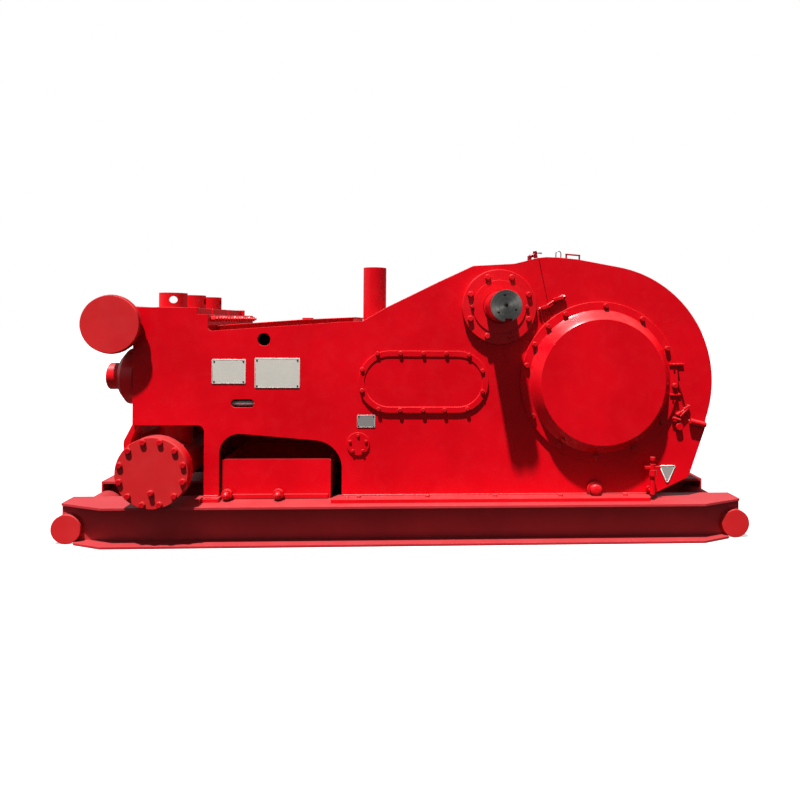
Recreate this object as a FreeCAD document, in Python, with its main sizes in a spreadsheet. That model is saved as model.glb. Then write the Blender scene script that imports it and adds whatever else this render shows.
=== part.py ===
import FreeCAD, Part
import math
import os
import re
import Sketcher

# Triplex mud pump on its own skid.  Millimetres, +Z up, +X towards the
# power end, -Y towards the side with the data plates.  The origin is on the
# ground under the middle of the skid.

os.makedirs("parts", exist_ok=True)
doc = FreeCAD.newDocument("mud_pump")
V3 = FreeCAD.Vector

# ---------------------------------------------------------------- sheet ----
DIMS = [
    # skid
    ("skid_half", 2414, "half length of the skid beams"),
    ("beam_high", 280, "beam height"),
    ("beam_wide", 280, "beam flange width"),
    ("beam_web", 10.5, "beam web thickness"),
    ("beam_flange", 18, "beam flange thickness"),
    ("beam_pos", 675, "side beams, distance from the mid-plane"),
    ("cope_start", 2088, "where the outer flange halves start to taper"),
    ("lift_pipe_rad", 101.5, "end pipe outer radius"),
    ("lift_pipe_wall", 12, "end pipe wall"),
    ("lift_pipe_pos", 2374, "end pipe, distance from the middle"),
    ("lift_pipe_up", 103, "end pipe centre height"),
    ("lift_pipe_half", 703, "end pipe half length without caps"),
    ("cap_thick", 12, "end pipe cap thickness"),
    ("cross_high", 200, "cross member height"),
    ("cross_wide", 120, "cross member flange width"),
    ("cross_up", 40, "cross member underside"),
    # power frame
    ("plate_out", 640, "outer face of the side plates"),
    ("plate_thick", 25, "side plate thickness"),
    ("foot_thick", 25, "foot plate thickness"),
    ("foot_out", 745, "outer edge of the foot plates"),
    ("foot_in", 535, "inner edge of the foot plates"),
    ("skin_thick", 12, "frame skin thickness"),
    ("case_mid_x", 1378, "main gear axis along the pump"),
    ("case_mid_z", 1130, "main gear axis height"),
    ("case_rad", 850, "radius of the gear case"),
    ("case_hole", 540, "main bearing opening radius"),
    ("cover_flange_rad", 582, "main bearing cover flange radius"),
    ("cover_flange_thick", 25, "main bearing cover flange thickness"),
    ("cover_base_rad", 528, "main bearing cover drum radius at the flange"),
    ("cover_front_rad", 453, "main bearing cover drum radius at the front"),
    ("cover_deep", 85, "main bearing cover drum depth"),
    # pinion
    ("pinion_x", 635, "pinion axis along the pump"),
    ("pinion_z", 1668, "pinion axis height"),
    ("pinion_rad", 107.95, "pinion shaft radius"),
    ("pinion_half", 960, "pinion shaft half length"),
    ("pinion_end", 270, "length of the turned shaft end"),
    ("journal_rad", 116, "pinion journal radius in the housings"),
    ("pinion_play", 0.08, "running clearance of the journals"),
    ("pinion_shoulder", 140, "shaft shoulder radius between the bearings"),
    ("housing_base_rad", 272, "pinion housing radius at the side plate"),
    ("housing_face_rad", 269, "pinion housing radius at its face"),
    ("housing_thick", 36, "pinion housing height over the side plate"),
    ("housing_seat", 199, "pinion housing radius inside the frame"),
    ("ring_rad", 193, "seal ring radius"),
    ("ring_thick", 7, "seal ring thickness"),
    ("key_wide", 50, "keyway width"),
    ("key_deep", 22, "keyway depth"),
    ("key_long", 190, "keyway length"),
    # fluid end
    ("cyl_pitch", 420, "cylinder spacing"),
    ("cyl_z", 1137, "cylinder axis height"),
    ("module_wide", 380, "fluid module width"),
    ("module_back", 1485, "rear face of the fluid modules"),
    ("module_front", 1890, "front face of the fluid modules"),
    ("module_low", 850, "underside of the fluid modules"),
    ("module_top", 1642, "top of the fluid modules"),
    ("module_step_x", 1545, "rear edge of the raised module top"),
    ("module_step_z", 1597, "module top behind the raised part"),
    ("nose_rad", 193, "cylinder head boss radius"),
    ("head_rad", 205, "cylinder head flange radius"),
    ("head_back", 1975, "rear of the cylinder head flange"),
    ("nose_front", 2100, "cylinder head boss front"),
    ("plug_rad", 98, "screwed cover boss radius"),
    ("valve_x", 1766, "valve cover axis"),
    ("valve_top", 1754, "valve cover top"),
    ("disch_x", 2081, "discharge manifold axis"),
    ("disch_z", 1521, "discharge manifold axis height"),
    ("disch_rad", 134, "discharge manifold radius"),
    ("disch_disc_rad", 200, "discharge end disc radius"),
    ("disch_half", 700, "discharge manifold half length"),
    ("disch_disc_thick", 35, "discharge end disc thickness"),
    ("suct_x", 1735, "suction manifold axis"),
    ("suct_z", 526, "suction manifold axis height"),
    ("suct_rad", 162, "suction manifold radius"),
    ("suct_flange_rad", 241.3, "suction flange radius"),
    ("suct_half", 834, "suction manifold half length"),
    ("blind_thick", 36, "blind flange thickness"),
    # fittings
    ("post_rad", 84.15, "socket post outer radius"),
    ("post_bore", 77.15, "socket post bore radius"),
    ("post_x", 270, "socket post position, towards the fluid end"),
    ("post_y", 500, "socket post distance from the mid-plane"),
    ("post_top", 1951, "socket post top"),
    ("post_low", 1440, "socket post underside"),
    ("hatch_x", 93, "inspection cover centre"),
    ("hatch_z", 1122, "inspection cover centre height"),
    ("hatch_half", 245, "inspection cover half length of the straight part"),
    ("hatch_rad", 224, "inspection cover end radius"),
    ("hatch_rim", 43, "inspection cover rim width"),
    ("hatch_thick", 15, "inspection cover rim height"),
    ("hatch_panel", 9, "inspection cover panel thickness"),
    ("tank_wall", 8, "wash tank wall"),
]
sheet = doc.addObject("Spreadsheet::Sheet", "Dims")
VAL = {}
for row, (alias, value, note) in enumerate(DIMS, start=1):
    sheet.set("A%d" % row, alias)
    sheet.set("B%d" % row, str(value))
    sheet.set("C%d" % row, note)
    sheet.setAlias("B%d" % row, alias)
    VAL[alias] = float(value)
doc.recompute()

NODES = []          # every sub-part that is written out


def expr(text):
    """Point the words of a size formula at the sheet."""
    return re.sub(r"[a-z][a-z_]*", lambda m: "Dims." + m.group(0) if m.group(0) in VAL else m.group(0), text)


def bind(obj, prop, size):
    if isinstance(size, str):
        obj.setExpression(prop, expr(size))
    else:
        obj.setExpression(prop, repr(float(size)))


def place(obj, pos, rot=None):
    if rot is not None:
        obj.Placement = FreeCAD.Placement(V3(0, 0, 0), rot)
    for axis, size in zip("xyz", pos):
        bind(obj, ".Placement.Base." + axis, size)


def node(obj, label):
    obj.Label = label
    NODES.append(obj)
    return obj


ALONG_X = FreeCAD.Rotation(V3(0, 1, 0), 90)      # local Z to +X
ALONG_Y = FreeCAD.Rotation(V3(1, 0, 0), -90)     # local Z to +Y
count = [0]


def fresh(kind, hint):
    count[0] += 1
    obj = doc.addObject(kind, "%s_%d" % (hint, count[0]))
    obj.Label = "%s_step_%d" % (hint, count[0])
    return obj


def box(low, size, hint="block"):
    b = fresh("Part::Box", hint)
    bind(b, "Length", size[0])
    bind(b, "Width", size[1])
    bind(b, "Height", size[2])
    place(b, low)
    return b


def cyl(pos, rad, high, rot=None, hint="round"):
    c = fresh("Part::Cylinder", hint)
    bind(c, "Radius", rad)
    bind(c, "Height", high)
    place(c, pos, rot)
    return c


def cone(pos, rad1, rad2, high, rot=None, hint="cone"):
    c = fresh("Part::Cone", hint)
    bind(c, "Radius1", rad1)
    bind(c, "Radius2", rad2)
    bind(c, "Height", high)
    place(c, pos, rot)
    return c


def fuse(shapes, hint="joined"):
    f = fresh("Part::MultiFuse", hint)
    f.Shapes = shapes
    return f


def cut(base, tools, hint="cut"):
    tool = tools[0] if len(tools) == 1 else fuse(tools, hint + "_tools")
    c = fresh("Part::Cut", hint)
    c.Base = base
    c.Tool = tool
    return c


def group(shapes, hint="set"):
    g = fresh("Part::Compound", hint)
    g.Links = shapes
    return g


def role_plane(body, role):
    for feature in body.Origin.OriginFeatures:
        if feature.Role == role:
            return feature
    raise RuntimeError(role)


def corner_path(corners):
    """Lines and tangent arcs through corners (a, b) or (a, b, radius)."""
    pts = [(c[0], c[1], c[2] if len(c) > 2 else 0.0) for c in corners]
    n = len(pts)
    ends = []
    for i, (px, pz, rad) in enumerate(pts):
        ax, az = pts[i - 1][0] - px, pts[i - 1][1] - pz
        bx, bz = pts[(i + 1) % n][0] - px, pts[(i + 1) % n][1] - pz
        la, lb = math.hypot(ax, az), math.hypot(bx, bz)
        ax, az, bx, bz = ax / la, az / la, bx / lb, bz / lb
        if rad <= 0:
            ends.append(((px, pz), None, (px, pz)))
            continue
        half = math.acos(max(-1, min(1, ax * bx + az * bz))) / 2
        run = rad / math.tan(half)
        mx, mz = ax + bx, az + bz
        lm = math.hypot(mx, mz)
        mx, mz = mx / lm, mz / lm
        far = rad / math.sin(half) - rad
        ends.append(((px + ax * run, pz + az * run),
                     (px + mx * far, pz + mz * far),
                     (px + bx * run, pz + bz * run)))
    parts = []
    for i in range(n):
        first, middle, last = ends[i]
        if middle is not None:
            parts.append(Part.Arc(V3(first[0], first[1], 0), V3(middle[0], middle[1], 0), V3(last[0], last[1], 0)))
        nxt = ends[(i + 1) % n][0]
        if math.hypot(nxt[0] - last[0], nxt[1] - last[1]) > 1e-6:
            parts.append(Part.LineSegment(V3(last[0], last[1], 0), V3(nxt[0], nxt[1], 0)))
    return parts


def ring_path(x, z, rad):
    return [Part.Circle(V3(x, z, 0), V3(0, 0, 1), rad)]


def prism(loops, thick, shift, role="XZ_Plane", hint="plate"):
    """A padded sketch.  On XZ it grows towards -Y from the body's plane."""
    count[0] += 1
    body = doc.addObject("PartDesign::Body", "%s_body_%d" % (hint, count[0]))
    body.Label = "%s_step_%d" % (hint, count[0])
    sk = body.newObject("Sketcher::SketchObject", "%s_sketch_%d" % (hint, count[0]))
    sk.AttachmentSupport = [(role_plane(body, role), "")]
    sk.MapMode = "FlatFace"
    for loop in loops:
        for g in loop:
            sk.addGeometry(g, False)
    pad = body.newObject("PartDesign::Pad", "%s_pad_%d" % (hint, count[0]))
    pad.Profile = sk
    bind(pad, "Length", thick)
    for axis, size in zip("xyz", shift):
        bind(body, ".Placement.Base." + axis, size)
    return body


def offset_line(pts, dist):
    """Open line moved to its left by dist, mitred at the corners."""
    out = []
    for i, p in enumerate(pts):
        a = pts[max(i - 1, 0)]
        b = pts[min(i + 1, len(pts) - 1)]
        if i == 0:
            dirs = [(b[0] - p[0], b[1] - p[1])]
        elif i == len(pts) - 1:
            dirs = [(p[0] - a[0], p[1] - a[1])]
        else:
            dirs = [(p[0] - a[0], p[1] - a[1]), (b[0] - p[0], b[1] - p[1])]
        nx = nz = 0.0
        norms = []
        for dx, dz in dirs:
            length = math.hypot(dx, dz)
            norms.append((-dz / length, dx / length))
        nx = sum(v[0] for v in norms)
        nz = sum(v[1] for v in norms)
        length = math.hypot(nx, nz)
        nx, nz = nx / length, nz / length
        scale = 1.0 / max(0.3, nx * norms[0][0] + nz * norms[0][1])
        out.append((p[0] + nx * dist * scale, p[1] + nz * dist * scale))
    return out


def strip(pts, near, far):
    """Closed corners of a plate that runs beside an open line."""
    return offset_line(pts, near) + offset_line(pts, far)[::-1]


# ----------------------------------------------------------------- skid ----
def side_beam(side):
    y = "%s beam_pos" % ("-" if side < 0 else "")
    low = y + " - beam_wide / 2"
    parts = [
        box(("-skid_half", low, 0), ("2 * skid_half", "beam_wide", "beam_flange"), "beam"),
        box(("-skid_half", low, "beam_high - beam_flange"), ("2 * skid_half", "beam_wide", "beam_flange"), "beam"),
        box(("-skid_half", y + " - beam_web / 2", 0), ("2 * skid_half", "beam_web", "beam_high"), "beam"),
    ]
    return fuse(parts, "beam")


def beam_tools(side):
    tools = []
    for end in (-1, 1):
        x = "%s lift_pipe_pos" % ("-" if end < 0 else "")
        tools.append(cyl((x, -1100, "lift_pipe_up"), "lift_pipe_rad", 2200, ALONG_Y, "pipe_way"))
        if end < 0:
            tools.append(box(("-skid_half - 20", -1100, -10), ("skid_half + 20 - lift_pipe_pos + 60", 2200, "lift_pipe_up + 10"), "toe"))
        else:
            tools.append(box(("lift_pipe_pos - 60", -1100, -10), ("skid_half + 20 - lift_pipe_pos + 60", 2200, "lift_pipe_up + 10"), "toe"))
        if side:
            edge = side * (VAL["beam_pos"] + VAL["beam_wide"] / 2 + 2)
            root = side * (VAL["beam_pos"] + 14)
            tri = [(end * VAL["cope_start"], edge), (end * (VAL["skid_half"] + 10), edge), (end * (VAL["skid_half"] + 10), root)]
            tools.append(prism([corner_path(tri)], "beam_high + 20", (0, 0, -10), "XY_Plane", "cope"))
    return tools


node(cut(side_beam(-1), beam_tools(-1), "skid_beam"), "skid_beam_near")
mid_beam = fuse([
    box((2402, -140, 198), (12, 280, 66), "beam_end"),
    box((-2414, -140, 198), (12, 280, 66), "beam_end"),
    box(("-skid_half", "-beam_wide / 2", 0), ("2 * skid_half", "beam_wide", "beam_flange"), "beam"),
    box(("-skid_half", "-beam_wide / 2", "beam_high - beam_flange"), ("2 * skid_half", "beam_wide", "beam_flange"), "beam"),
    box(("-skid_half", "-beam_web / 2", 0), ("2 * skid_half", "beam_web", "beam_high"), "beam")], "beam")
node(cut(mid_beam, beam_tools(0), "skid_beam"), "skid_beam_centre")
node(cut(side_beam(1), beam_tools(1), "skid_beam"), "skid_beam_far")

cross = []
for x in (-1960, -1050, -60, 900, 1830):
    for low in ("-beam_pos + beam_web / 2", "beam_web / 2"):
        run = "beam_pos - beam_web"
        cross.append(fuse([
            box((x - 60, low, "cross_up"), ("cross_wide", run, 12), "cross"),
            box((x - 60, low, "cross_up + cross_high - 12"), ("cross_wide", run, 12), "cross"),
            box((x - 4, low, "cross_up"), (8, run, "cross_high"), "cross")], "cross"))
node(group(cross, "cross_members"), "skid_cross_members")

pipes = []
for side in (-1, 1):
    x = "%s lift_pipe_pos" % ("-" if side < 0 else "")
    outer = cyl((x, "-lift_pipe_half", "lift_pipe_up"), "lift_pipe_rad", "2 * lift_pipe_half", ALONG_Y, "pipe")
    inner = cyl((x, "-lift_pipe_half - 5", "lift_pipe_up"), "lift_pipe_rad - lift_pipe_wall", "2 * lift_pipe_half + 10", ALONG_Y, "pipe")
    pipes.append(cut(outer, [inner], "pipe"))
node(group(pipes, "pipes"), "skid_end_pipes")
caps = []
for x in ("-lift_pipe_pos", "lift_pipe_pos"):
    caps.append(cyl((x, "-lift_pipe_half - cap_thick", "lift_pipe_up"), "lift_pipe_rad", "cap_thick", ALONG_Y, "cap"))
    caps.append(cyl((x, "lift_pipe_half", "lift_pipe_up"), "lift_pipe_rad", "cap_thick", ALONG_Y, "cap"))
node(group(caps, "caps"), "skid_pipe_caps")

# -------------------------------------------------------------- frame ------
CX, CZ, CR = VAL["case_mid_x"], VAL["case_mid_z"], VAL["case_rad"]
SEAM_TOP = (923, 2029)
SEAM_LOW = (1003, 1651)
SEAM_REAR = 812      # height of the rear seam at the outline
SEAM_RISE = 0.246    # it climbs towards the gear axis
SEAM_BACK = [(1930, 1130), (1955, 1112), (1992, 1012), (2018, 906), (2058, 842), (2180, 812)]
SEAM_OVER = [(2060.3, 844.6), (2021, 907), (1994.9, 1013), (1957.5, 1113.8), (1931.4, 1133)]


def seam(x):
    return SEAM_REAR + (2180 - x) * SEAM_RISE


TOP_LINE = [(817, 2001), (748, 1983), (466, 1965), (434, 1956), (206, 1848), (-175, 1658), (-340, 1556), (-503, 1550), (-892, 1519)]
MAIN = [
    (-1962, 808), (-1962, 1643), (-1518, 1645), (-1518, 1597), (-1443, 1597),
    (-1443, 1478, 24), (-892, 1519), (-503, 1550), (-350, 1555, 60), (-175, 1658), (206, 1848),
    (450, 1964, 60), (748, 1983, 250), (817, 2001, 250), SEAM_TOP, SEAM_LOW,
    (CX, CZ)] + SEAM_BACK + [(2176, 780, 40), (2055, 425, 60), (1797, 305),
    (-490, 305), (-490, 683, 205), (-1356, 760, 140), (-1356, 305),
    (-1464, 305), (-1464, 808, 48),
]
SLOT = [(-1277, 935, 28.9), (-1113, 935, 28.9), (-1113, 993, 28.9), (-1277, 993, 28.9)]
ARC_TOP = math.radians(79.8)
ARC_END = math.radians(-18.5)


def case_point(rad, angle):
    return V3(CX + rad * math.cos(angle), CZ + rad * math.sin(angle), 0)


def case_loop(lines, rad, low, inner=None):
    """Outline that follows the round gear case."""
    out = []
    first = case_point(rad, ARC_TOP)
    last = case_point(rad, ARC_END)
    chain = [V3(x, z, 0) for x, z in lines] + [first]
    for a, b in zip(chain, chain[1:]):
        out.append(Part.LineSegment(a, b))
    out.append(Part.Arc(first, case_point(rad, (ARC_TOP + ARC_END) / 2), last))
    return out, last


def cheek_loop():
    gap = 3
    lines = [(SEAM_TOP[0] + gap, SEAM_TOP[1]), (985, 2035), (1071, 2033), (1213, 2021)]
    out, last = case_loop(lines, CR, 0)
    tail = [last, V3(2178, seam(2178) + gap, 0)] + [V3(x, z, 0) for x, z in SEAM_OVER] + [V3(CX + gap, CZ + gap, 0),
            V3(SEAM_LOW[0] + gap, SEAM_LOW[1], 0), V3(lines[0][0], lines[0][1], 0)]
    for a, b in zip(tail, tail[1:]):
        out.append(Part.LineSegment(a, b))
    return out


def way_tools(y_low, y_run):
    """Bearing openings and the way for the discharge manifold."""
    return [
        cyl(("case_mid_x", y_low, "case_mid_z"), "case_hole", y_run, ALONG_Y, "case_way"),
        cyl(("pinion_x", y_low, "pinion_z"), "housing_seat", y_run, ALONG_Y, "pinion_way"),
        cyl(("-disch_x", y_low, "disch_z"), "disch_rad + 33", y_run, ALONG_Y, "disch_way"),
    ]


for side, name in ((-1, "side_plate_near"), (1, "side_plate_far")):
    shift = "-plate_out + plate_thick" if side < 0 else "plate_out"
    blank = prism([corner_path(MAIN), corner_path(SLOT), ring_path(-1049, 1420, 45)], "plate_thick", (0, shift, 0), "XZ_Plane", "side_plate")
    low = -700 if side < 0 else 560
    node(cut(blank, way_tools(low, 140), "side_plate"), name)

cheeks = []
for side in (-1, 1):
    shift = "-plate_out + plate_thick" if side < 0 else "plate_out"
    blank = prism([cheek_loop()], "plate_thick", (0, shift, 0), "XZ_Plane", "cheek")
    low = -700 if side < 0 else 560
    cheeks.append(cut(blank, [cyl(("case_mid_x", low, "case_mid_z"), "case_hole", 140, ALONG_Y, "case_way")], "cheek"))
node(group(cheeks, "cheeks"), "rear_cover_cheeks")

# skin of the lift-off rear cover, between its cheeks
gap = 3
outer_lines = [(SEAM_TOP[0] + gap, 2023), (985, 2029), (1071, 2027), (1213, 2015)]
inner_lines = [(SEAM_TOP[0] + gap, 2011), (985, 2017), (1070, 2015), (1211, 2003)]
o_edges, o_last = case_loop(outer_lines, CR - 6, 0)
i_edges, i_last = case_loop(inner_lines, CR - 18, 0)
edges = list(o_edges)
low_o, low_i = V3(2172, seam(2172) + gap, 0), V3(2160, seam(2160) + gap, 0)
edges.append(Part.LineSegment(o_last, low_o))
edges.append(Part.LineSegment(low_o, low_i))
edges.append(Part.LineSegment(low_i, i_last))
edges.extend(i_edges)
edges.append(Part.LineSegment(V3(inner_lines[0][0], inner_lines[0][1], 0), V3(outer_lines[0][0], outer_lines[0][1], 0)))
inside = "2 * plate_out - 2 * plate_thick"
inside_from = "plate_out - plate_thick"
node(prism([edges], inside, (0, inside_from, 0), "XZ_Plane", "rear_cover_skin"), "rear_cover_skin")

# fixed skin: top, deck, bottom, walls
top_pts = [(921, 2028), (817, 2001), (748, 1983), (450, 1964), (206, 1848), (-175, 1658), (-342, 1558)]
top_blank = prism([corner_path(strip(top_pts, 6, 18))], inside, (0, inside_from, 0), "XZ_Plane", "top_plate")
post_way = [cyl(("-post_x", "-post_y", 1300), "post_rad", 900, None, "post_way")]
vent_way = [cyl((868, -590, 1900), 15, 200, None, "vent_way")]
node(cut(top_blank, post_way + vent_way, "top_plate"), "frame_top_plate")

deck_pts = [(-346, 1526), (-503, 1520), (-892, 1489), (-1441, 1448)]
deck_blank = prism([corner_path(strip(deck_pts, 0, 12))], inside, (0, inside_from, 0), "XZ_Plane", "deck")
post_way = [cyl(("-post_x", "-post_y", 1300), "post_rad", 900, None, "post_way")]
node(cut(deck_blank, post_way, "deck"), "crosshead_deck")

# raised cover over the crossheads: a shallow box that stands on the deck, with an overhanging lid
lid_pts = [(-407, 1586), (-802, 1565), (-1108, 1541), (-1400, 1518)]
lid = prism([corner_path(strip(lid_pts, 0, 8))], 1120, (0, 560, 0), "XZ_Plane", "lid")
skirt_pts = [(-424, 1523.02), (-424, 1581), (-802, 1561), (-1108, 1537), (-1392, 1514.6), (-1392, 1451.66), (-892, 1489), (-503, 1520)]
skirt = prism([corner_path(skirt_pts)], 1072, (0, 536, 0), "XZ_Plane", "skirt")
skirt = cut(skirt, [box((-1384, -528, 1400), (952, 1056, 300), "skirt_way")], "skirt")
node(fuse([skirt, lid, cyl((-839, 0, 1558), 45, 22, None, "lid_knob")], "lid"), "crosshead_cover")

bottom_pts = [(-454, 305), (1795, 305), (2049, 427), (2168, 782), (2171, 806)]
node(prism([corner_path(strip(bottom_pts, 0, 14))], inside, (0, inside_from, 0), "XZ_Plane", "bottom"), "crankcase_bottom")

floor_pts = [(-1441, 784), (-700, 718), (-560, 668), (-490, 560), (-470, 470), (-470, 306)]
node(prism([corner_path(strip(floor_pts, 0, 14))], inside, (0, inside_from, 0), "XZ_Plane", "floor"), "chamber_floor")

wall = [(-1485, 812), (-1464, 812), (-1464, 306), (-1443, 306), (-1443, 1592), (-1485, 1592)]
wall_blank = prism([corner_path(wall)], inside, (0, inside_from, 0), "XZ_Plane", "front_wall")
rod_ways = [cyl((-1600, y, "cyl_z"), 120, 300, ALONG_X, "rod_way") for y in ("-cyl_pitch", 0, "cyl_pitch")]
node(cut(wall_blank, rod_ways, "front_wall"), "front_wall")

mid = box((-905, "-plate_out + plate_thick", 754), (25, inside, 716), "mid_wall")
rod_ways = [cyl((-1000, y, "cyl_z"), 110, 300, ALONG_X, "rod_way") for y in ("-cyl_pitch", 0, "cyl_pitch")]
node(cut(mid, rod_ways, "mid_wall"), "crosshead_wall")

web = [(-1442, 280), (-500, 280), (-500, 500), (-570, 625), (-700, 680), (-1442, 746)]
node(prism([corner_path(web)], 16, (0, 8, 0), "XZ_Plane", "web"), "frame_centre_web")

# feet
feet = []
for side in (-1, 1):
    out, inn = side * VAL["foot_out"], side * VAL["foot_in"]
    long_foot = [(-470, inn), (-470, side * 640), (-555, out), (1722, out), (1790, side * 640), (1790, inn)]
    feet.append(prism([corner_path(long_foot)], "foot_thick", (0, 0, "beam_high"), "XY_Plane", "foot"))
    small = [(-1466, side * 560), (-1466, side * 708), (-1340, side * 708), (-1340, side * 560)]
    sx, sy = -1412, side * 685
    slot = [(sx - 24, sy - 10, 9.9), (sx + 24, sy - 10, 9.9), (sx + 24, sy + 10, 9.9), (sx - 24, sy + 10, 9.9)]
    feet.append(prism([corner_path(small), corner_path(slot)], "foot_thick", (0, 0, "beam_high"), "XY_Plane", "foot"))
feet.append(box((-440, -130, "beam_high"), (2200, 260, "foot_thick"), "centre_pad"))
node(group(feet, "feet"), "frame_feet")

# -------------------------------------------------- main bearing covers ----
covers = []
for side in (-1, 1):
    if side < 0:
        turn = FreeCAD.Rotation(V3(1, 0, 0), 90)
        face = "-plate_out"
    else:
        turn = ALONG_Y
        face = "plate_out"
    step = "-" if side < 0 else "+"
    flange = cyl(("case_mid_x", face, "case_mid_z"), "cover_flange_rad", "cover_flange_thick", turn, "cover")
    drum = cone(("case_mid_x", face, "case_mid_z"), "cover_base_rad + 12", "cover_front_rad", "cover_deep + cover_flange_thick", turn, "cover")
    hollow = cone(("case_mid_x", face, "case_mid_z"), "cover_base_rad - 6", "cover_front_rad - 14", "cover_deep + cover_flange_thick - 14", turn, "cover")
    covers.append(cut(fuse([flange, drum], "cover"), [hollow], "cover"))
node(group(covers, "covers"), "main_bearing_covers")

# ---------------------------------------------------------------- pinion ---
housings = []
for side in (-1, 1):
    turn = FreeCAD.Rotation(V3(1, 0, 0), 90) if side < 0 else ALONG_Y
    back = ALONG_Y if side < 0 else FreeCAD.Rotation(V3(1, 0, 0), 90)
    face = "-plate_out" if side < 0 else "plate_out"
    base = cone(("pinion_x", face, "pinion_z"), "housing_base_rad", "housing_face_rad", "housing_thick", turn, "housing")
    seat = cyl(("pinion_x", face, "pinion_z"), "housing_seat", 95, back, "housing")
    bore = cyl(("pinion_x", -900 if side < 0 else 450, "pinion_z"), "journal_rad + pinion_play", 450, ALONG_Y, "housing")
    housings.append(cut(fuse([base, seat], "housing"), [bore], "housing"))
node(group(housings, "housings"), "pinion_housings")
rings = []
for side in (-1, 1):
    turn = FreeCAD.Rotation(V3(1, 0, 0), 90) if side < 0 else ALONG_Y
    face = "-plate_out - housing_thick" if side < 0 else "plate_out + housing_thick"
    disc = cyl(("pinion_x", face, "pinion_z"), "ring_rad", "ring_thick", turn, "seal_ring")
    bore = cyl(("pinion_x", -900 if side < 0 else 600, "pinion_z"), "journal_rad + 2", 300, ALONG_Y, "seal_ring")
    rings.append(cut(disc, [bore], "seal_ring"))
node(group(rings, "seal_rings"), "pinion_seal_rings")

shaft = fuse([
    cyl(("pinion_x", "-pinion_half", "pinion_z"), "pinion_rad", "2 * pinion_half", ALONG_Y, "shaft"),
    cyl(("pinion_x", "-pinion_half + pinion_end", "pinion_z"), "journal_rad", "2 * pinion_half - 2 * pinion_end", ALONG_Y, "shaft"),
    cyl(("pinion_x", -520, "pinion_z"), "pinion_shoulder", 1040, ALONG_Y, "shaft")], "shaft")
tools = []
for side in (-1, 1):
    start = "-pinion_half - 1" if side < 0 else "pinion_half + 1"
    turn = ALONG_Y if side < 0 else FreeCAD.Rotation(V3(1, 0, 0), 90)
    tools.append(cyl(("pinion_x", start, "pinion_z"), 15, 61, turn, "centre_hole"))
    for deg in (100, 222, 336):
        a = math.radians(deg)
        tools.append(cyl(("pinion_x + %r" % (71 * math.cos(a)), start, "pinion_z + %r" % (71 * math.sin(a))), 9, 41, turn, "end_hole"))
    key = box(("pinion_x - key_wide / 2 + 16", "-pinion_half - 1" if side < 0 else "pinion_half + 1 - key_long", "pinion_z - pinion_rad - 1"),
              ("key_wide", "key_long", "key_deep + 1"), "keyway")
    tools.append(key)
node(cut(shaft, tools, "shaft"), "pinion_shaft")

# ------------------------------------------------------------ fluid end ----
rows = (("near", "-cyl_pitch", -1), ("middle", 0, 0), ("far", "cyl_pitch", 1))
for word, y, s in rows:
    y = y if isinstance(y, str) else "0"
    block = box(("-module_front", y + " - module_wide / 2", "module_low"),
                ("module_front - module_back", "module_wide", "module_step_z - module_low"), "module")
    upper = box(("-module_front", y + " - module_wide / 2", "module_step_z - 10"),
                ("module_front - module_step_x", "module_wide", "module_top - module_step_z + 10"), "module")
    block = fuse([block, upper], "module")
    nose = fuse([cyl(("-head_back - 5", y, "cyl_z"), "nose_rad", "head_back + 5 - module_front + 60", ALONG_X, "module"),
                 cyl(("-nose_front + 42", y, "cyl_z"), "head_rad", "nose_front - 42 - head_back", ALONG_X, "module")], "module")
    lip = cone(("-nose_front", y, "cyl_z"), "head_rad - 48", "head_rad", 42, ALONG_X, "module")
    crown = cyl(("-valve_x", y, "module_top - 5"), 114, 11, None, "module")
    node(fuse([block, nose, lip, crown], "module"), "fluid_module_" + word)

plugs = []
for word, y, s in rows:
    y = y if isinstance(y, str) else "0"
    body = cyl(("-valve_x", y, "module_top + 6"), "plug_rad", "valve_top - module_top - 6", None, "valve_plug")
    deg = {-1: 20.6, 0: 90, 1: 90}[s]
    turn = FreeCAD.Rotation(V3(0, 0, 1), deg).multiply(ALONG_Y)
    a = math.radians(deg)
    hole = cyl(("-valve_x + %r" % (150 * math.sin(a)), y + " - %r" % (150 * math.cos(a)), 1706), 29, 300, turn, "bar_hole")
    plugs.append(cut(body, [hole], "valve_plug"))
node(group(plugs, "valve_plugs"), "valve_cover_plugs")

plugs = []
for word, y, s in rows:
    y = y if isinstance(y, str) else "0"
    body = cyl(("-nose_front - 106", y, "cyl_z"), "plug_rad", 106, ALONG_X, "cylinder_plug")
    deg = {-1: 90, 0: 0, 1: 90}[s]
    a = math.radians(deg)
    turn = FreeCAD.Rotation(V3(1, 0, 0), deg).multiply(ALONG_Y)
    hole = cyl(("-nose_front - 66", y + " - %r" % (150 * math.cos(a)), "cyl_z - %r" % (150 * math.sin(a))), 22, 300, turn, "bar_hole")
    plugs.append(cut(body, [hole], "cylinder_plug"))
node(group(plugs, "cylinder_plugs"), "cylinder_cover_plugs")

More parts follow.
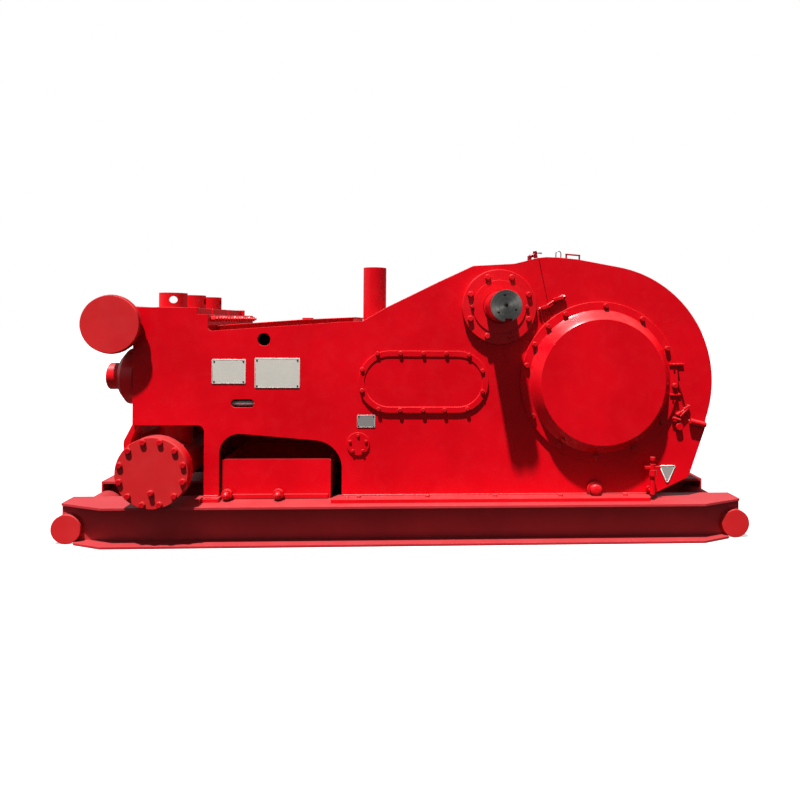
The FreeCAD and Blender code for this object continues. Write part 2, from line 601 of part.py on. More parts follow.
parts = [cyl(("-disch_x", "-disch_half", "disch_z"), "disch_rad", "2 * disch_half", ALONG_Y, "discharge")]
for word, y, s in rows:
    y = y if isinstance(y, str) else "0"
    parts.append(box(("-disch_x", y + " - 130", "disch_z - 118"), ("disch_x - module_front", 260, 236), "discharge"))
parts.append(cyl(("-disch_x", "-disch_half", "disch_z"), "disch_disc_rad - 8", 34, ALONG_Y, "discharge"))
parts.append(cyl(("-disch_x", "disch_half - 34", "disch_z"), "disch_disc_rad - 8", 34, ALONG_Y, "discharge"))
node(fuse(parts, "discharge"), "discharge_manifold")
discs = [cyl(("-disch_x", "-disch_half - disch_disc_thick", "disch_z"), "disch_disc_rad", "disch_disc_thick", ALONG_Y, "disc"),
         cyl(("-disch_x", "disch_half", "disch_z"), "disch_disc_rad", "disch_disc_thick", ALONG_Y, "disc")]
node(group(discs, "discs"), "discharge_end_discs")

parts = [cyl(("-suct_x", "-suct_half", "suct_z"), "suct_rad", "2 * suct_half", ALONG_Y, "suction"),
         cyl(("-suct_x", "-suct_half + 2", "suct_z"), "suct_flange_rad", 62, ALONG_Y, "suction"),
         cyl(("-suct_x", "suct_half - 64", "suct_z"), "suct_flange_rad", 62, ALONG_Y, "suction")]
for word, y, s in rows:
    y = y if isinstance(y, str) else "0"
    parts.append(cyl(("-suct_x", y, "suct_z"), 112, "module_low - suct_z", None, "suction"))
    parts.append(cyl(("-suct_x", y, "module_low - 34"), 165, 34, None, "suction"))
node(fuse(parts, "suction"), "suction_manifold")
blinds = [cyl(("-suct_x", "-suct_half - blind_thick", "suct_z"), "suct_flange_rad", "blind_thick", ALONG_Y, "blind"),
          cyl(("-suct_x", "suct_half", "suct_z"), "suct_flange_rad", "blind_thick", ALONG_Y, "blind")]
node(group(blinds, "blinds"), "suction_blind_flanges")

hangers = []
arm = [(-1900, 935), (-1966, 935), (-1966, 826, 60), (-2034, 690, 60), (-2030, 600, 50), (-1960, 530, 20), (-1880, 530), (-1880, 572),
       (-1944, 588, 20), (-1980, 632, 30), (-1980, 700, 60), (-1918, 826, 60)]
for shift in ("-plate_out + plate_thick + 48", "plate_out - plate_thick"):
    blank = prism([corner_path(arm)], 48, (0, shift, 0), "XZ_Plane", "hanger")
    hangers.append(cut(blank, [cyl(("-suct_x", -900, "suct_z"), "suct_rad", 1800, ALONG_Y, "hanger")], "hanger"))
# bent plate that ties the two arms together in front of the suction branches
apron_pts = [(-1966, 930), (-1966, 826), (-2032, 692), (-2028, 606)]
hangers.append(prism([corner_path(strip(apron_pts, 0, 12))], 1134, (0, 567, 0), "XZ_Plane", "apron"))
node(group(hangers, "hangers"), "suction_hangers")

# ------------------------------------------------------- covers, fittings --
hatches = []
for side in (-1, 1):
    hx, hz = VAL["hatch_x"], VAL["hatch_z"]
    hh, hr = VAL["hatch_half"], VAL["hatch_rad"]

    def stadium(shrink):
        rad = hr - shrink
        return [Part.LineSegment(V3(hx - hh, hz - rad, 0), V3(hx + hh, hz - rad, 0)),
                Part.Arc(V3(hx + hh, hz - rad, 0), V3(hx + hh + rad, hz, 0), V3(hx + hh, hz + rad, 0)),
                Part.LineSegment(V3(hx + hh, hz + rad, 0), V3(hx - hh, hz + rad, 0)),
                Part.Arc(V3(hx - hh, hz + rad, 0), V3(hx - hh - rad, hz, 0), V3(hx - hh, hz - rad, 0))]

    rim_shift = "-plate_out" if side < 0 else "plate_out + hatch_thick"
    pan_shift = "-plate_out" if side < 0 else "plate_out + hatch_panel"
    rim = prism([stadium(0), stadium(VAL["hatch_rim"])], "hatch_thick", (0, rim_shift, 0), "XZ_Plane", "hatch")
    pan = prism([stadium(20)], "hatch_panel", (0, pan_shift, 0), "XZ_Plane", "hatch")
    hatches.append(fuse([rim, pan], "hatch"))
node(group(hatches, "hatches"), "inspection_covers")

rounds = [cyl((-375, "-plate_out - 10", 676), 82, 10, ALONG_Y, "round_cover"), cyl((-375, "plate_out", 676), 82, 10, ALONG_Y, "round_cover")]
node(group(rounds, "round_covers"), "round_hand_covers")

post = cyl(("-post_x", "-post_y", "post_low"), "post_rad", "post_top - post_low", None, "post")
post_in = cyl(("-post_x", "-post_y", "post_low + 12"), "post_bore", "post_top - post_low", None, "post")
node(cut(post, [post_in], "post"), "crane_post_socket")

tanks = []
for side in (-1, 1):
    y0, y1 = (-612, -12) if side < 0 else (12, 612)
    shell = box((-1340, y0, "beam_high"), (765, 600, 282), "tank")
    lip_box = box((-1330, -630 if side < 0 else 611, "beam_high + 4"), (740, 19, 28), "tank")
    hollow = box((-1332, y0 + 8, "beam_high + tank_wall"), (749, 584, 300), "tank")
    rot = FreeCAD.Rotation(V3(1, 0, 0), 90) if side < 0 else ALONG_Y
    stub_ways = [cyl((x, 612 * side, 322), 20, 25, rot, "stub_way") for x in (-1296, -936)]
    tanks.append(cut(fuse([shell, lip_box], "tank"), [hollow] + stub_ways, "tank"))
node(group(tanks, "tanks"), "wash_tanks")

drain = []
for x in (-1296, -936):
    for side in (-1, 1):
        rot = FreeCAD.Rotation(V3(1, 0, 0), 90) if side < 0 else ALONG_Y
        drain.append(fuse([cyl((x, side * 612, 322), 20, 60, rot, "drain_plug"),
                           cyl((x, side * 640, 322), 37, 34, rot, "drain_plug")], "drain_plug"))
node(group(drain, "drain_plugs"), "tank_drain_plugs")

plates = []
for x0, x1, z0, z1 in ((-1412, -1175, 1103, 1279), (-1112, -793, 1074, 1289), (-384, -253, 791, 884)):
    loop = corner_path([(x0, z0, 8), (x1, z0, 8), (x1, z1, 8), (x0, z1, 8)])
    plates.append(prism([loop], 3, (0, "-plate_out", 0), "XZ_Plane", "data_plate"))
loop = corner_path([(1834, 513, 13), (1893, 380, 16), (1954, 513, 13)])
plates.append(prism([loop], 3, (0, "-plate_out", 0), "XZ_Plane", "data_plate"))
node(group(plates, "data_plates"), "blank_data_plates")

# clamps that draw the lift-off cover down on the frame: two lugs each side
# of the seam with a bolt between them, at the front and at the rear
def tilted_block(x, z, along, across, proud, side, tilt, hint):
    turn = FreeCAD.Rotation(V3(0, 1, 0), -tilt)
    corner = turn.multVec(V3(-along / 2.0, 0, -across / 2.0))
    y = "-plate_out - %r" % float(proud) if side < 0 else "plate_out"
    b = fresh("Part::Box", hint)
    bind(b, "Length", along)
    bind(b, "Width", proud)
    bind(b, "Height", across)
    place(b, (x + corner.x, y, z + corner.z), turn)
    return b


clamps = []
for side in (-1, 1):
    for x, z, along, across, proud, tilt in ((970, 1668, 52, 24, 28, 22), (1066, 1730, 74, 24, 28, 16),
                                             (1972, 894, 38, 20, 28, 36), (2024, 934, 32, 20, 28, 36)):
        clamps.append(tilted_block(x, z, along, across, proud, side, tilt, "lug"))
node(group(clamps, "clamps"), "cover_clamp_lugs")
bars = []
for side in (-1, 1):
    y = "-plate_out - 20" if side < 0 else "plate_out + 20"
    turn = FreeCAD.Rotation(V3(0, 1, 0), 90 + math.degrees(math.atan(SEAM_RISE)))
    bars.append(cyl((2056, y, seam(2056) - 2), 20, 117, turn, "joint_bar"))
    for x0, x1, z in ((1890, 2008, 1250), (1896, 1986, 1028)):
        leg = "-plate_out - 35" if side < 0 else "plate_out"
        tab = "-plate_out - 14" if side < 0 else "plate_out"
        over = "-plate_out - 35" if side < 0 else "plate_out + cover_flange_thick"
        bars.append(fuse([box((1954, leg, z), (10, 35, 14), "cover_strap"),
                          box((1954, tab, z), (x1 - 1954, 14, 14), "cover_strap"),
                          box((x0, over, z), (1956 - x0, "35 - cover_flange_thick", 14), "cover_strap")], "cover_strap"))
    turn = FreeCAD.Rotation(V3(1, 0, 0), 90) if side < 0 else ALONG_Y
    bars.append(cyl((1974, "-plate_out" if side < 0 else "plate_out", 800), 26, 27, turn, "stop_knob"))
node(group(bars, "bars"), "cover_joint_bars")

cock = fuse([cyl((1753, "-plate_out - 72", 322), 17, 160, None, "cock"),
             cyl((1753, "-plate_out - 72", 456), 27, 43, None, "cock"),
             cyl((1753, "-plate_out", 344), 17, 80, FreeCAD.Rotation(V3(1, 0, 0), 90), "cock")], "cock")
node(cock, "drain_cock")
wing = fuse([cyl((1753, "-plate_out - 72", 500), 18, 40, None, "wing"),
             box((1696, "-plate_out - 81", 505), (114, 18, 18), "wing"),
             cyl((1753, "-plate_out - 72", 540), 8, 27, None, "wing"),
             cyl((1753, "-plate_out - 72", 567), 18, 22, None, "wing")], "wing")
node(wing, "drain_cock_handle")

handle = fuse([cyl((1142, -590, 2021.8), 6, 41, None, "handle"), cyl((1240, -590, 2011.6), 6, 44, None, "handle"),
               cyl((1136, -590, 2062), 6, 110, FreeCAD.Rotation(V3(0, 1, 0), 94), "handle")], "handle")
node(handle, "cover_lift_handle")

# breather elbow with a small cock and lever, in front of the seam
tee = fuse([cyl((868, -590, 1994), 15, 52, None, "breather"),
            cyl((868, -590, 2042), 13, 52, FreeCAD.Rotation(V3(0, 1, 0), 72), "breather"),
            cyl((914, -590, 2032), 15, 50, FreeCAD.Rotation(V3(0, 1, 0), -8), "breather"),
            cyl((910, -590, 2074), 5, 50, FreeCAD.Rotation(V3(0, 1, 0), 98), "breather")], "breather")
node(tee, "breather_cock")

# ------------------------------------------------------ recompute, write ---
doc.recompute()
bad = []
for obj in doc.Objects:
    if "Invalid" in obj.State or "Error" in obj.State:
        bad.append((obj.Name, obj.State))
for obj in NODES:
    if obj.Shape.isNull() or not obj.Shape.isValid():
        bad.append((obj.Label, "shape"))
if bad:
    raise RuntimeError("failed objects: %s" % bad)
labels = [o.Label for o in NODES]
if len(set(labels)) != len(labels):
    raise RuntimeError("labels repeat")
total = 0.0
for obj in NODES:
    obj.Shape.exportStep("parts/%s.step" % obj.Label)
    total += obj.Shape.Volume
    print("%-26s solids %2d  volume %.4f m3" % (obj.Label, len(obj.Shape.Solids), obj.Shape.Volume / 1e9))
print("nodes", len(NODES), "total volume m3", total / 1e9)
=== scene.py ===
import bpy, bmesh, math, random
from mathutils import Vector, Matrix


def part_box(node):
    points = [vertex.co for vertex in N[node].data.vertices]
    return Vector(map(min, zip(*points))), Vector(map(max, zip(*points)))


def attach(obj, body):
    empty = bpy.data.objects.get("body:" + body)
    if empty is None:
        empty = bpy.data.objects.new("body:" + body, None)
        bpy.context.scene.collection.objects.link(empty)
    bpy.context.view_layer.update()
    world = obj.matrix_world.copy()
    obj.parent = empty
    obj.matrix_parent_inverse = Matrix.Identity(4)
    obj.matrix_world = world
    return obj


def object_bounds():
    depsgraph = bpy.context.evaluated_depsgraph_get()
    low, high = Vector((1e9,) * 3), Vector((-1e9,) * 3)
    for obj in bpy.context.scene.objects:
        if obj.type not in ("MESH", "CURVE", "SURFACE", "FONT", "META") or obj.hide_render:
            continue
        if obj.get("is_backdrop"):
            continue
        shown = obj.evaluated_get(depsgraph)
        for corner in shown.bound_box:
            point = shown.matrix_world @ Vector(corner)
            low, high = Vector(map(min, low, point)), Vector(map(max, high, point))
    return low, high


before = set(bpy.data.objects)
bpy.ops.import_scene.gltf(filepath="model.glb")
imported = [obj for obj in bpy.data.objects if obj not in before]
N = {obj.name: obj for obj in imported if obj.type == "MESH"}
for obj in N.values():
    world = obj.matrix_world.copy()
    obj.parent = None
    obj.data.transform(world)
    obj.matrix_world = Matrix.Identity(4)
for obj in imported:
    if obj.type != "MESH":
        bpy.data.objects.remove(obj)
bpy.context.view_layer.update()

rng = random.Random(11)
SC = bpy.context.scene
TAU = 2 * math.pi


# ------------------------------------------------------------------ nodes --
class Tree:
    """A small helper to wire shader nodes."""

    def __init__(self, name):
        self.mat = bpy.data.materials.new(name)
        self.mat.use_nodes = True
        self.t = self.mat.node_tree
        self.t.nodes.clear()
        self.out = self.t.nodes.new("ShaderNodeOutputMaterial")
        self.b = self.t.nodes.new("ShaderNodeBsdfPrincipled")
        self.t.links.new(self.b.outputs[0], self.out.inputs["Surface"])
        self.co = self.t.nodes.new("ShaderNodeTexCoord").outputs["Object"]

    def new(self, kind, **props):
        n = self.t.nodes.new(kind)
        for k, v in props.items():
            setattr(n, k, v)
        return n

    def put(self, socket, value):
        if hasattr(value, "is_output"):
            self.t.links.new(value, socket)
        elif isinstance(value, tuple) and len(value) == 3 and len(getattr(socket, "default_value", ())) == 4:
            socket.default_value = (*value, 1.0)
        else:
            socket.default_value = value

    def noise(self, scale, detail=3.0, rough=0.55, at=None, distort=0.0):
        n = self.new("ShaderNodeTexNoise")
        self.put(n.inputs["Vector"], at or self.co)
        self.put(n.inputs["Scale"], scale)
        self.put(n.inputs["Detail"], detail)
        self.put(n.inputs["Roughness"], rough)
        self.put(n.inputs["Distortion"], distort)
        return n.outputs["Fac"]

    def stretch(self, sx, sy, sz):
        n = self.new("ShaderNodeMapping")
        self.put(n.inputs["Vector"], self.co)
        n.inputs["Scale"].default_value = (sx, sy, sz)
        return n.outputs[0]

    def span(self, v, a, b, c=0.0, d=1.0, smooth=True):
        n = self.new("ShaderNodeMapRange", interpolation_type="SMOOTHSTEP" if smooth else "LINEAR")
        self.put(n.inputs["Value"], v)
        for key, x in (("From Min", a), ("From Max", b), ("To Min", c), ("To Max", d)):
            self.put(n.inputs[key], x)
        return n.outputs[0]

    def math(self, op, a, b=0.0):
        n = self.new("ShaderNodeMath", operation=op)
        self.put(n.inputs[0], a)
        self.put(n.inputs[1], b)
        return n.outputs[0]

    def mix(self, fac, a, b, kind="MIX"):
        n = self.new("ShaderNodeMix", data_type="RGBA", blend_type=kind)
        self.put(n.inputs[0], fac)
        self.put(n.inputs[6], a)
        self.put(n.inputs[7], b)
        return n.outputs[2]

    def bump(self, height, strength, distance, under=None):
        n = self.new("ShaderNodeBump")
        self.put(n.inputs["Height"], height)
        n.inputs["Strength"].default_value = strength
        n.inputs["Distance"].default_value = distance
        if under is not None:
            self.t.links.new(under, n.inputs["Normal"])
        return n.outputs[0]

    def up(self):
        g = self.new("ShaderNodeNewGeometry")
        s = self.new("ShaderNodeSeparateXYZ")
        self.t.links.new(g.outputs["Normal"], s.inputs[0])
        return s.outputs[2]

    def height(self):
        s = self.new("ShaderNodeSeparateXYZ")
        self.t.links.new(self.co, s.inputs[0])
        return s.outputs[2]

    def edges(self, radius=0.006, samples=4):
        """1 along convex and concave edges, 0 on open faces."""
        bev = self.new("ShaderNodeBevel", samples=samples)
        bev.inputs["Radius"].default_value = radius
        g = self.new("ShaderNodeNewGeometry")
        d = self.new("ShaderNodeVectorMath", operation="DOT_PRODUCT")
        self.t.links.new(bev.outputs[0], d.inputs[0])
        self.t.links.new(g.outputs["Normal"], d.inputs[1])
        return self.span(d.outputs["Value"], 0.995, 0.88)

    # occlusion mask, used for painted shade in corners
    def near(self, distance=0.05, samples=4):
        ao = self.new("ShaderNodeAmbientOcclusion", samples=samples)
        ao.inputs["Distance"].default_value = distance
        return self.span(ao.outputs["AO"], 0.35, 0.85, 1.0, 0.0)


def paint(name, red=(0.66, 0.0012, 0.0072), deep=(0.56, 0.0008, 0.0055), pale=(0.70, 0.020, 0.028), rough=0.25, cast=0.0, dust=0.30, corner_shade=0.30, wear=0.5, specular=0.24):
    """Gloss red enamel over steel: slow drifts of tone, fine orange peel, dust on what faces up,
    painted shade darkening faces that point up, painted shade in corners, and worn edges."""
    g = Tree(name)
    slow = g.noise(1.4, 4, 0.6)
    mid = g.noise(9.0, 4, 0.6, distort=0.4)
    fine = g.noise(140.0, 3, 0.6)
    col = g.mix(g.span(slow, 0.36, 0.66), deep, red)
    col = g.mix(g.math("MULTIPLY", g.span(mid, 0.42, 0.72), 0.07), col, pale)
    col = g.mix(g.math("MULTIPLY", g.span(fine, 0.55, 0.8), 0.06), col, pale)
    runs = g.noise(1.0, 4, 0.65, at=g.stretch(16, 16, 1.1))
    col = g.mix(g.math("MULTIPLY", g.span(runs, 0.56, 0.78), 0.08), col, deep)
    up = g.span(g.up(), 0.35, 0.95)
    settle = g.math("MULTIPLY", up, g.span(g.noise(6.0, 5, 0.65), 0.30, 0.72, 0.25, 1.0))
    dusty = g.math("MULTIPLY", settle, dust)
    col = g.mix(dusty, col, (0.52, 0.20, 0.17))
    # painted shade: faces that point up are darkened towards a dull red
    painted_top_shade = g.math("MULTIPLY", g.span(g.up(), 0.45, 0.95), 0.85)
    col = g.mix(painted_top_shade, col, (0.26, 0.021, 0.024))
    # painted shade: darker red where other parts are near, in corners and creases; the same mask also roughens the
    # paint
    corner = g.math("MULTIPLY", g.near(0.035), g.span(g.noise(24.0, 4, 0.7), 0.35, 0.65, 0.25, 1.0))
    corner = g.math("MULTIPLY", corner, corner_shade)
    col = g.mix(corner, col, (0.085, 0.006, 0.006))
    edge = g.math("MULTIPLY", g.edges(0.004), g.span(g.noise(70.0, 4, 0.7), 0.52, 0.66))
    edge = g.math("MULTIPLY", edge, wear)
    col = g.mix(edge, col, (0.74, 0.09, 0.075))
    g.put(g.b.inputs["Base Color"], col)
    r = g.math("ADD", g.span(mid, 0.3, 0.75, rough - 0.03, rough + 0.05), g.math("MULTIPLY", dusty, 0.45))
    r = g.math("ADD", r, g.math("MULTIPLY", corner, 0.35))
    g.put(g.b.inputs["Roughness"], r)
    g.b.inputs["Specular IOR Level"].default_value = specular
    peel = g.bump(g.noise(260.0, 2, 0.5), 0.06, 0.0010)
    if cast:
        peel = g.bump(g.noise(85.0, 4, 0.7), cast * 0.7, 0.003, peel)
        peel = g.bump(g.noise(11.0, 3, 0.6), cast * 0.3, 0.008, peel)
    g.t.links.new(peel, g.b.inputs["Normal"])
    return g.mat


def turned(name, axis_xz, col=(0.44, 0.42, 0.385), rough=0.28):
    """Lathe-turned steel, with rings about an axis along Y, a thin oil film and a little rust."""
    g = Tree(name)
    sub = g.new("ShaderNodeVectorMath", operation="SUBTRACT")
    g.t.links.new(g.co, sub.inputs[0])
    sub.inputs[1].default_value = (axis_xz[0], 0, axis_xz[1])
    flat = g.new("ShaderNodeVectorMath", operation="MULTIPLY")
    g.t.links.new(sub.outputs[0], flat.inputs[0])
    flat.inputs[1].default_value = (1, 0, 1)
    ln = g.new("ShaderNodeVectorMath", operation="LENGTH")
    g.t.links.new(flat.outputs[0], ln.inputs[0])
    sep = g.new("ShaderNodeSeparateXYZ")
    g.t.links.new(g.co, sep.inputs[0])
    ringpos = g.new("ShaderNodeCombineXYZ")
    g.t.links.new(ln.outputs["Value"], ringpos.inputs[0])
    g.t.links.new(sep.outputs[1], ringpos.inputs[1])
    rings = g.noise(900.0, 2, 0.5, at=ringpos.outputs[0])
    wide = g.noise(60.0, 3, 0.6, at=ringpos.outputs[0])
    blot = g.noise(14.0, 5, 0.65, distort=0.6)
    c = g.mix(g.span(wide, 0.3, 0.7), tuple(0.72 * x for x in col), col)
    c = g.mix(g.math("MULTIPLY", g.span(blot, 0.50, 0.75), 0.5), c, (0.17, 0.13, 0.095))
    spots = g.span(g.noise(120.0, 4, 0.7), 0.66, 0.74)
    c = g.mix(g.math("MULTIPLY", spots, 0.6), c, (0.16, 0.07, 0.035))
    g.put(g.b.inputs["Base Color"], c)
    g.b.inputs["Metallic"].default_value = 1.0
    g.put(g.b.inputs["Roughness"], g.math("ADD", g.span(rings, 0.3, 0.7, rough - 0.06, rough + 0.10, False), g.span(blot, 0.45, 0.8, 0.0, 0.22)))
    g.b.inputs["Anisotropic"].default_value = 0.65
    tan = g.new("ShaderNodeTangent", direction_type="RADIAL", axis="Y")
    g.t.links.new(tan.outputs[0], g.b.inputs["Tangent"])
    nrm = g.bump(rings, 0.20, 0.0006)
    nrm = g.bump(g.noise(48.0, 3, 0.6), 0.05, 0.002, nrm)
    g.t.links.new(nrm, g.b.inputs["Normal"])
    # the shaft is sprayed red next to the housings, bare beyond
    red = g.new("ShaderNodeBsdfPrincipled")
    red.inputs["Base Color"].default_value = (0.56, 0.004, 0.010, 1)
    red.inputs["Roughness"].default_value = 0.32
    red.inputs["Specular IOR Level"].default_value = 0.3
    away = g.math("ABSOLUTE", sep.outputs[1])
    away = g.math("ADD", away, g.span(g.noise(22.0, 3, 0.6), 0.3, 0.7, -0.005, 0.005))
    both = g.new("ShaderNodeMixShader")
    g.t.links.new(g.span(away, 0.864, 0.868), both.inputs[0])
    g.t.links.new(red.outputs[0], both.inputs[1])
    g.t.links.new(g.b.outputs[0], both.inputs[2])
    g.t.links.new(both.outputs[0], g.out.inputs["Surface"])
    return g.mat


def metal(name, col, rough=0.35, metallic=1.0, grain=0.5, stain=(0.20, 0.15, 0.11), stains=0.4, brushed=(1, 1, 30), dull=None):
    g = Tree(name)
    lines = g.noise(60.0, 3, 0.6, at=g.stretch(*brushed))
    blot = g.noise(9.0, 5, 0.65, distort=0.5)
    spots = g.noise(70.0, 4, 0.7)
    c = g.mix(g.span(lines, 0.3, 0.7), tuple(0.86 * x for x in col), col)
    c = g.mix(g.math("MULTIPLY", g.span(blot, 0.48, 0.78), stains), c, stain)
    c = g.mix(g.math("MULTIPLY", g.span(spots, 0.64, 0.74), stains * 0.8), c, tuple(0.5 * x for x in stain))
    c = g.mix(g.math("MULTIPLY", g.edges(0.0025), 0.35), c, tuple(min(1, 1.3 * x) for x in col))
    if dull:
        s = g.new("ShaderNodeSeparateXYZ")
        g.t.links.new(g.co, s.inputs[0])
        here = g.math("MULTIPLY", g.span(s.outputs[0], dull[0] - 0.01, dull[0]), g.span(s.outputs[0], dull[1], dull[1] + 0.01, 1.0, 0.0))
        c = g.mix(here, c, dull[2])
    g.put(g.b.inputs["Base Color"], c)
    g.b.inputs["Metallic"].default_value = metallic
    g.put(g.b.inputs["Roughness"], g.math("ADD", g.span(lines, 0.25, 0.75, rough - 0.05, rough + 0.08), g.span(blot, 0.45, 0.8, 0.0, 0.2)))
    n = g.bump(lines, 0.18 * grain, 0.0006)
    n = g.bump(g.noise(30.0, 3, 0.6), 0.10 * grain, 0.002, n)
    g.t.links.new(n, g.b.inputs["Normal"])
    return g.mat


# each paint's corner weight sets how strong the painted shade in corners is
RED_PLATE = paint("red_plate")
RED_CAST = paint("red_cast", cast=0.16, rough=0.30, corner_shade=0.40, specular=0.40)
RED_SKID = paint("red_skid", red=(0.50, 0.028, 0.034), deep=(0.42, 0.022, 0.028), pale=(0.56, 0.06, 0.065), rough=0.36, dust=0.22, corner_shade=0.45, wear=0.7, specular=0.35)
RED_CAP = paint("red_cap", red=(0.60, 0.018, 0.020), deep=(0.52, 0.012, 0.014), pale=(0.62, 0.06, 0.06), rough=0.44, dust=0.35)
RED_DARK = paint("red_dark", red=(0.26, 0.006, 0.012), deep=(0.20, 0.004, 0.009), pale=(0.34, 0.02, 0.03), rough=0.3)
RED_BOLT = paint("red_bolt", red=(0.66, 0.006, 0.012), deep=(0.44, 0.002, 0.006), rough=0.30, corner_shade=0.6, wear=0.8)
RED_WELD = paint("red_weld", red=(0.60, 0.005, 0.010), deep=(0.40, 0.002, 0.006), cast=0.35, rough=0.34, corner_shade=0.6)
STEEL = turned("turned_steel", (0.635, 1.668))
PLATE = metal("plate_metal", (0.74, 0.70, 0.62), rough=0.42, metallic=0.35, stain=(0.56, 0.49, 0.37), stains=0.35, dull=(-0.45, -0.20, (0.27, 0.255, 0.24)))
RIM = metal("plate_rim", (0.66, 0.65, 0.60), rough=0.45, metallic=0.1, stains=0.1)
PIPE_GREY = metal("grey_pipe", (0.55, 0.55, 0.53), rough=0.5, metallic=0.0, stains=0.3)
PLATE_GREY = metal("plate_grey", (0.47, 0.46, 0.42), rough=0.5, metallic=0.5, stain=(0.30, 0.27, 0.23), stains=0.4)
ZINC = metal("zinc", (0.62, 0.62, 0.60), rough=0.38, stain=(0.32, 0.28, 0.22), stains=0.45, brushed=(1, 1, 4))
DARK = metal("dark_steel", (0.10, 0.085, 0.08), rough=0.45, stain=(0.13, 0.065, 0.04), stains=0.5, brushed=(1, 1, 4))
HOLE = metal("hole_shadow", (0.03, 0.012, 0.012), rough=0.8, metallic=0.0, stain=(0.02, 0.01, 0.01))

LOOK = {n: RED_PLATE for n in N}
for n in N:
    if n.startswith("skid_"):
        LOOK[n] = RED_SKID
for n in ("fluid_module_near", "fluid_module_middle", "fluid_module_far", "suction_manifold", "discharge_manifold", "pinion_housings",
          "pinion_seal_rings", "valve_cover_plugs", "cylinder_cover_plugs", "suction_hangers"):
    LOOK[n] = RED_CAST
for n in ("skid_pipe_caps", "discharge_end_discs", "suction_blind_flanges"):
    LOOK[n] = RED_CAP
LOOK["pinion_shaft"] = STEEL
LOOK["blank_data_plates"] = PLATE
LOOK["cover_lift_handle"] = RED_DARK
LOOK["breather_cock"] = RED_DARK

EDGE = {n: 0.0025 for n in N}
for n in ("fluid_module_near", "fluid_module_middle", "fluid_module_far"):
    EDGE[n] = 0.010
for n in ("discharge_manifold", "suction_manifold"):
    EDGE[n] = 0.004
for n in ("main_bearing_covers", "pinion_housings", "valve_cover_plugs", "cylinder_cover_plugs"):
    EDGE[n] = 0.004
for n in ("skid_beam_near", "skid_beam_centre", "skid_beam_far", "skid_pipe_caps", "discharge_end_discs", "suction_blind_flanges", "inspection_covers"):
    EDGE[n] = 0.003
for n in ("cover_lift_handle", "breather_cock", "drain_cock_handle", "drain_cock", "blank_data_plates", "pinion_shaft"):
    EDGE[n] = 0.0008
for n in ("pinion_shaft",):
    EDGE[n] = 0.0015


def smooth_group():
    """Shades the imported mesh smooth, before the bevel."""
    g = bpy.data.node_groups.new("soft_shade", "GeometryNodeTree")
    g.interface.new_socket("Geometry", in_out="INPUT", socket_type="NodeSocketGeometry")
    g.interface.new_socket("Geometry", in_out="OUTPUT", socket_type="NodeSocketGeometry")
    a, b = g.nodes.new("NodeGroupInput"), g.nodes.new("NodeGroupOutput")
    s = g.nodes.new("GeometryNodeSetShadeSmooth")
    g.links.new(a.outputs[0], s.inputs[0])
    g.links.new(s.outputs[0], b.inputs[0])
    return g


def flat_group():
    """Gives every open flat face its own exact normal, so that only edges and round faces are shaded round."""
    g = bpy.data.node_groups.new("flat_faces", "GeometryNodeTree")
    g.interface.new_socket("Geometry", in_out="INPUT", socket_type="NodeSocketGeometry")
    g.interface.new_socket("Geometry", in_out="OUTPUT", socket_type="NodeSocketGeometry")

    def new(kind, **props):
        n = g.nodes.new(kind)
        for k, v in props.items():
            setattr(n, k, v)
        return n

    def calc(op, a, b):
        n = new("ShaderNodeMath", operation=op)
        for i, v in enumerate((a, b)):
            if hasattr(v, "is_output"):
                g.links.new(v, n.inputs[i])
            else:
                n.inputs[i].default_value = v
        return n.outputs[0]

    a, b = new("NodeGroupInput"), new("NodeGroupOutput")
    nor = new("GeometryNodeInputNormal").outputs[0]
    own = new("GeometryNodeFieldOnDomain", data_type="FLOAT_VECTOR", domain="FACE")
    g.links.new(nor, own.inputs[0])
    ang = new("GeometryNodeInputMeshEdgeAngle").outputs[0]
    bend = calc("MULTIPLY", calc("GREATER_THAN", ang, 0.009), calc("LESS_THAN", ang, 0.21))
    some = new("GeometryNodeFieldOnDomain", data_type="FLOAT", domain="FACE")
    g.links.new(bend, some.inputs[0])
    area = new("GeometryNodeInputMeshFaceArea").outputs[0]
    flat = calc("MULTIPLY", calc("LESS_THAN", some.outputs[0], 0.2), calc("GREATER_THAN", area, 0.0004))
    pick = new("GeometryNodeSwitch", input_type="VECTOR")
    g.links.new(flat, pick.inputs[0])
    g.links.new(nor, pick.inputs[1])
    g.links.new(own.outputs[0], pick.inputs[2])
    put = new("GeometryNodeSetMeshNormal", mode="FREE", domain="CORNER")
    split = new("GeometryNodeSetShadeSmooth", domain="EDGE")
    g.links.new(a.outputs[0], split.inputs[0])
    g.links.new(calc("GREATER_THAN", ang, 0.33), split.inputs[1])
    split.inputs[2].default_value = False
    g.links.new(split.outputs[0], put.inputs["Mesh"])
    g.links.new(pick.outputs[0], [i for i in put.inputs if i.type == "VECTOR"][0])
    g.links.new(put.outputs[0], b.inputs[0])
    return g


SOFT = smooth_group()
FLAT = flat_group()


def unsound(o):
    """Area of faces that an edge treatment has folded over or left with a wrong corner normal."""
    bpy.context.view_layer.update()
    e = o.evaluated_get(bpy.context.evaluated_depsgraph_get())
    me = e.to_mesh()
    me.calc_loop_triangles()
    cn, bad = me.corner_normals, 0.0
    for t in me.loop_triangles:
        n = me.polygons[t.polygon_index].normal
        if t.area > 1e-8 and (t.normal.dot(n) < 0.5 or any(not cn[i].vector.dot(n) > 0.3 for i in t.loops)):
            bad += t.area
    e.to_mesh_clear()
    return bad


